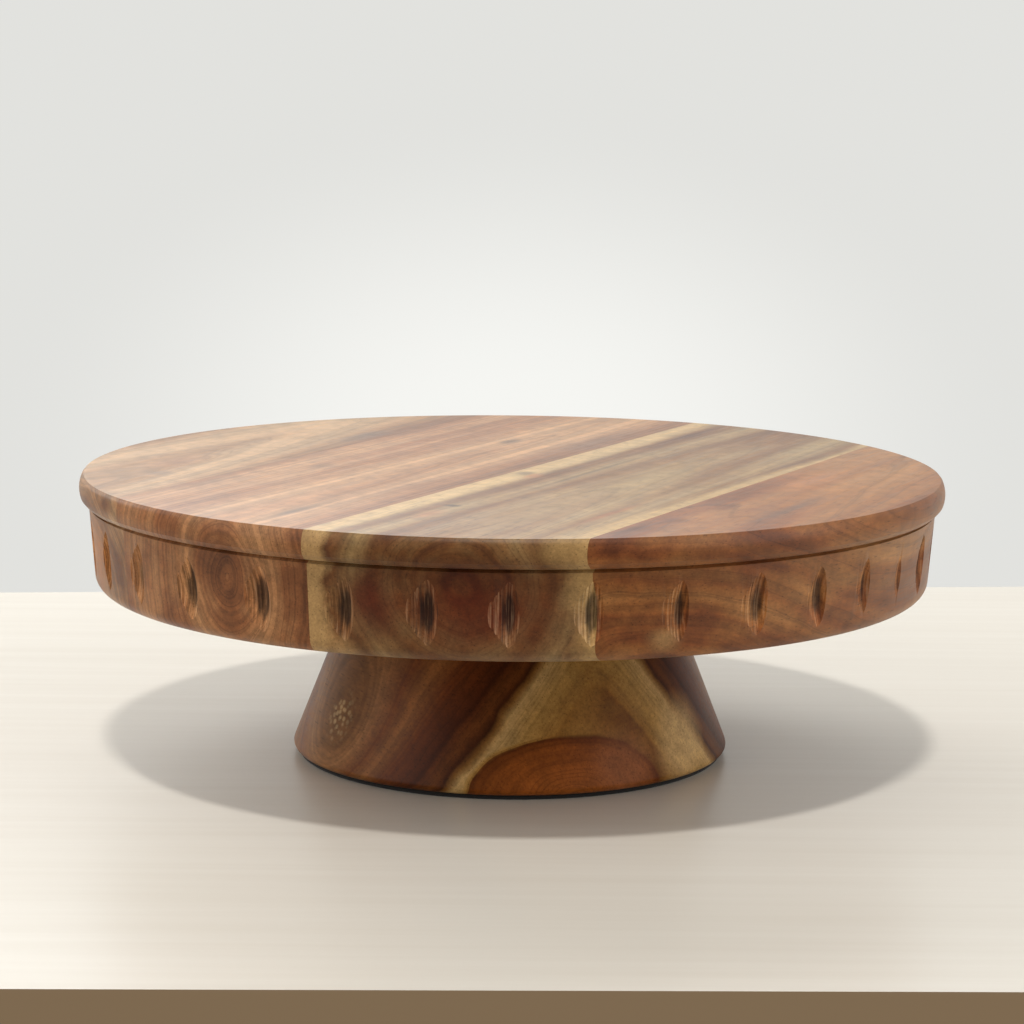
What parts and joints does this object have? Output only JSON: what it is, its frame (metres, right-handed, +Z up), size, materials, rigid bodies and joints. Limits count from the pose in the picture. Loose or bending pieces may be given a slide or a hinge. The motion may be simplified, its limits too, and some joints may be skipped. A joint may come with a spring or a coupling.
{
  "type": "cake stand",
  "caption": "Round pedestal cake stand in solid wood, with a flat top, a beaded rim over a fluted skirt, and a low turned conical foot.",
  "frame": {"origin": "on the table, under the centre of the stand, at the underside of the foot pad", "axes": "+Z up along the turning axis, -Y towards the front, +X to the right seen from the front"},
  "size_m": [0.305, 0.305, 0.1016],
  "materials": {
    "wood_outer_left": "acacia, orange-brown heartwood, sanded and oiled to a low sheen",
    "wood_left": "acacia, mid-brown heartwood, sanded and oiled to a low sheen",
    "wood_right": "acacia, olive-brown heartwood with pale sapwood at both edges, sanded and oiled",
    "wood_outer_right": "acacia, red-brown heartwood with dark streaks, sanded and oiled to a low sheen",
    "wood_pedestal": "acacia turned from one block, dark heartwood with a pale sapwood flame and a knot, oiled",
    "screw_steel": "zinc-plated steel",
    "pad_felt": "black pressed felt, self-adhesive"
  },
  "bodies": {
    "root": {"top_board_outer_left": "wood_outer_left", "top_board_left": "wood_left", "top_board_right": "wood_right", "top_board_outer_right": "wood_outer_right", "pedestal": "wood_pedestal", "base_screws": "screw_steel", "foot_pad": "pad_felt"}
  },
  "joints": []
}
